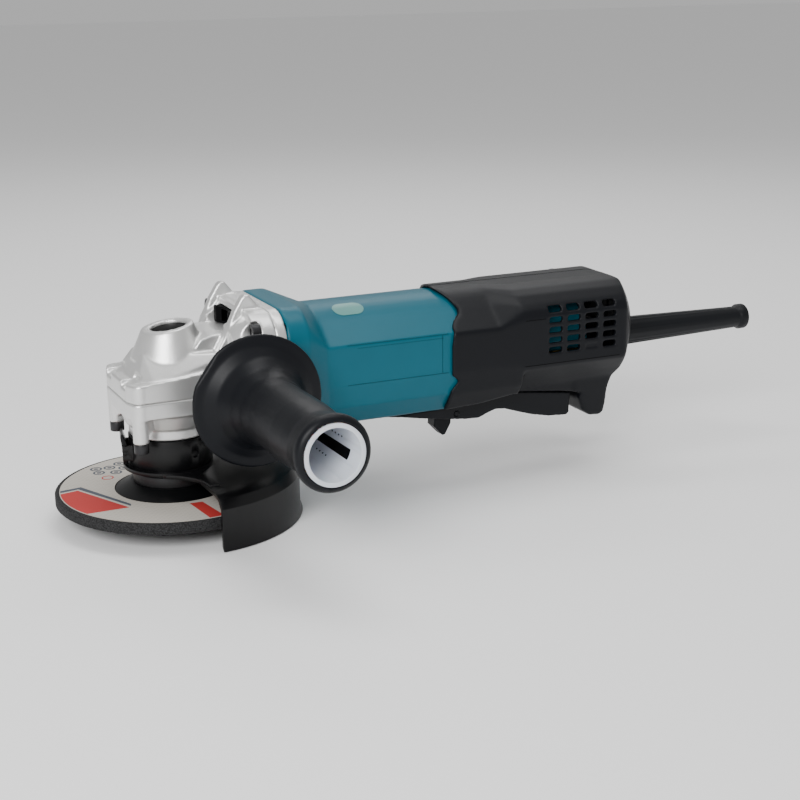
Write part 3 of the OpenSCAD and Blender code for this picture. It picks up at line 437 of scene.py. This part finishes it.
def build_mouldings():
    soft_replacement("motor_housing_moulding", "motor_housing", "housing", TEAL, 0.7, 16)
    for side in ("left", "right"):
        soft_replacement(f"handle_{side}_moulding", f"rear_handle_{side}", "housing", BLACK,
                         0.65, 34, VENTS)
    soft_replacement("paddle_moulding", "switch_paddle", "paddle", BLACK, 0.6, 4)
    soft_replacement("lock_off_moulding", "lock_off_lever", "lock_off", BLACK, 0.4, 4)
    soft_replacement("grip_moulding", "side_handle_grip", "housing", BLACK, 0.8, 6)


def build_metal():
    for node, body, mat in (
        ("gear_housing_screws", "housing", BLACK_STEEL),
        ("bearing_box_screws", "housing", BLACK_STEEL),
        ("exhaust_baffle", "housing", DARK),
        ("guard_collar", "guard", GUARD_PAINT),
        ("guard_lever", "guard_latch", GUARD_PAINT),
        ("guard_cover", "guard", GUARD_PAINT),
        ("inner_flange", "spindle", BLACK_STEEL),
        ("lock_nut", "spindle", STEEL),
        ("lock_button", "shaft_lock", DARK),
        ("cord_guard", "housing", BLACK_RUBBER),
        ("side_handle_core", "housing", WHITE),
    ):
        bevelled(node + "_finish", node, body, mat)


def build_wheel():
    """The wheel with its dark moulded hub, and the print on its label."""
    bm = copy_of("grinding_wheel")
    for face in bm.faces:
        middle = face.calc_center_median()
        if math.hypot(middle.x, middle.y) < HUB_EDGE * MM and middle.z > HUB_LOW * MM:
            face.material_index = 1
    wheel = new_object("wheel_two_tone", bm, ABRASIVE)
    wheel.data.materials.append(HUB)
    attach(wheel, "spindle")
    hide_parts("grinding_wheel")
    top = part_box("wheel_label")[1][2] / MM
    low, high = top - 0.05, top + 0.04
    rim = [polar(PRINT_EDGE, a) for a in range(170, 209, 3)]
    red = bmesh.new()
    add_prism(red, [(-49.7, 12.4)] + rim + [(-31.9, -26.5)], low, high)
    for turn in (0, 180):
        strip = [(-1.5, -34.7), (5.4, -35.1)]
        strip += [polar(PRINT_EDGE, a) for a in (-81.5, -84, -87, -89)]
        c, d = math.cos(math.radians(turn)), math.sin(math.radians(turn))
        add_prism(red, [(x * c - y * d, x * d + y * c) for x, y in strip], low, high)
    ring_quads(red, (-29.2, 26.7), 2.6, 3.4, low, high)
    bmesh.ops.recalc_face_normals(red, faces=red.faces)
    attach(new_object("label_print_red", red, PRINT_RED), "spindle")
    dark = bmesh.new()
    add_prism(dark, [polar(PRINT_EDGE, 164.9), (-46.8, 17.4), (-29.6, -21.6), (-30.6, -24.6),
                     (-48.9, 14.2), polar(PRINT_EDGE, 168.2)], low, high)
    for at in ((-31.1, 44.5), (-23.6, 43.7), (-16.7, 48.4), (-16.1, 39.9), (-31.3, 37.3),
               (-22.3, 34.3)):
        ring_quads(dark, at, 2.3, 3.4, low, high)
        ring_quads(dark, at, 0.3, 1.3, low, high)
    bmesh.ops.recalc_face_normals(dark, faces=dark.faces)
    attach(new_object("label_print_dark", dark, PRINT_DARK), "spindle")


def build_panel_shade_lines():
    """Fine dark lines of painted shade along the creases that frame the flat panels on the motor
    housing's sides.
    """
    bm = bmesh.new()
    for sign in (-1, 1):
        for x0, x1, z0, z1 in ((90, 151, 81.7, 82.1), (90, 151, 59.5, 59.9),
                               (147.2, 147.6, 60, 81.6), (96, 148, 79.7, 79.95)):
            add_line(bm, x0, x1, PANEL_SIDE * sign, 0.06 * sign, z0, z1)
    bmesh.ops.recalc_face_normals(bm, faces=bm.faces)
    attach(new_object("panel_shade_lines", bm, TEAL_CREASE_SHADE), "housing")


def core_wall(angle, depth, lift=0.0):
    """A point in metres on the side handle's hollow wall, by angle and depth from its mouth."""
    x, z = polar(CORE_MOUTH_R - CORE_TAPER * depth - lift, angle)
    return Vector((SIDE_HANDLE_X + x, depth - SIDE_HANDLE_END, SIDE_HANDLE_Z + z)) * MM


def build_core_shade_marks():
    """Painted shade: a thin dark sheet on the wall of the side handle's hollow for the slot there,
    and small dark dots for the vent holes.
    """
    bm = bmesh.new()
    angles = [-34 + 3 * i for i in range(9)]
    loops = []
    for depth, lift in ((12.5, -0.3), (12.5, 0.06), (47, 0.06), (47, -0.3)):
        loops.append([bm.verts.new(core_wall(a, depth, lift)) for a in angles])
    for k in range(4):
        a, b = loops[k], loops[(k + 1) % 4]
        for i in range(len(angles) - 1):
            bm.faces.new((a[i], a[i + 1], b[i + 1], b[i]))
    for i in (0, -1):
        bm.faces.new([loop[i] for loop in loops])
    # Small dark dots of painted shade for the vent holes
    for angle, start in ((8, 22), (-52, 31)):
        for i in range(4):
            spot = Matrix.Translation(core_wall(angle, start + 3.6 * i))
            bmesh.ops.create_icosphere(bm, subdivisions=2, radius=0.45 * MM, matrix=spot)
    bmesh.ops.recalc_face_normals(bm, faces=bm.faces)
    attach(new_object("core_slot_shade", bm, DARK), "housing")


def build_handle_shade_lines():
    """Fine styling lines along the flat sides of the rear handle, drawn dark as painted shade."""
    bm = bmesh.new()
    for sign in (-1, 1):
        for x0, x1, z in ((199, 212, 84.2), (199, 262, 57.6)):
            add_line(bm, x0, x1, GRIP_SIDE * sign, 0.05 * sign, z, z + 0.35)
    bmesh.ops.recalc_face_normals(bm, faces=bm.faces)
    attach(new_object("handle_shade_lines", bm, DARK), "housing")


# ---------- stage ----------

CAMERA_AZIMUTH = -24.96
CAMERA_ELEVATION = 15.84
CAMERA_ROLL = -0.57
CAMERA_PLACE = Vector((-0.2377, -0.8071, 0.2889))


def build_camera():
    az, el, roll = (math.radians(v) for v in (CAMERA_AZIMUTH, CAMERA_ELEVATION, CAMERA_ROLL))
    back = Vector((math.sin(az) * math.cos(el), -math.cos(az) * math.cos(el), math.sin(el)))
    level = Vector((math.cos(az), math.sin(az), 0))
    rise = back.cross(level)
    right = math.cos(roll) * level + math.sin(roll) * rise
    up = -math.sin(roll) * level + math.cos(roll) * rise
    cam = bpy.data.cameras.new("camera")
    cam.sensor_width = 36
    cam.lens = 72
    cam.clip_start = 0.01
    obj = bpy.data.objects.new("camera", cam)
    turn = Matrix((right, up, back)).transposed().to_4x4()
    obj.matrix_world = Matrix.Translation(CAMERA_PLACE) @ turn
    bpy.context.collection.objects.link(obj)
    bpy.context.scene.camera = obj


def area_light(name, place_m, aim, size, power, color=(1, 1, 1)):
    light = bpy.data.lights.new(name, "AREA")
    light.shape = "RECTANGLE"
    light.size, light.size_y = size
    light.energy = power
    light.color = color
    obj = bpy.data.objects.new(name, light)
    obj.location = place_m
    obj.rotation_euler = (Vector(place_m) - Vector(aim)).to_track_quat("Z", "Y").to_euler()
    bpy.context.collection.objects.link(obj)


def build_stage():
    low = cad_bounds[0][2]
    bm = bmesh.new()
    bmesh.ops.create_grid(bm, x_segments=1, y_segments=1, size=6)
    bmesh.ops.translate(bm, verts=bm.verts, vec=(0, 0, low - 0.2 * MM))
    floor_mat = material("floor", (0.94, 0.94, 0.94), 0.9, Specular_IOR_Level=0.1)
    grain_bump(floor_mat, 3.0, 0.02, 0.1)
    floor = new_object("floor", bm, floor_mat)
    world = bpy.data.worlds.new("studio")
    bpy.context.scene.world = world
    world.use_nodes = True
    back = world.node_tree.nodes["Background"]
    back.inputs[0].default_value = (1, 1, 1, 1)
    back.inputs[1].default_value = 0.5
    middle = (0.12, 0, 0.05)
    area_light("key", (-0.75, -0.95, 0.75), middle, (0.8, 0.6), 20)
    area_light("top", (0.25, 0.1, 1.2), middle, (1.2, 0.4), 7)
    area_light("rim", (0.6, 0.9, 0.9), middle, (0.9, 0.2), 3)


paint_cad()
build_castings()
build_mouldings()
build_metal()
build_wheel()
build_panel_shade_lines()
build_core_shade_marks()
build_handle_shade_lines()
build_camera()
build_stage()
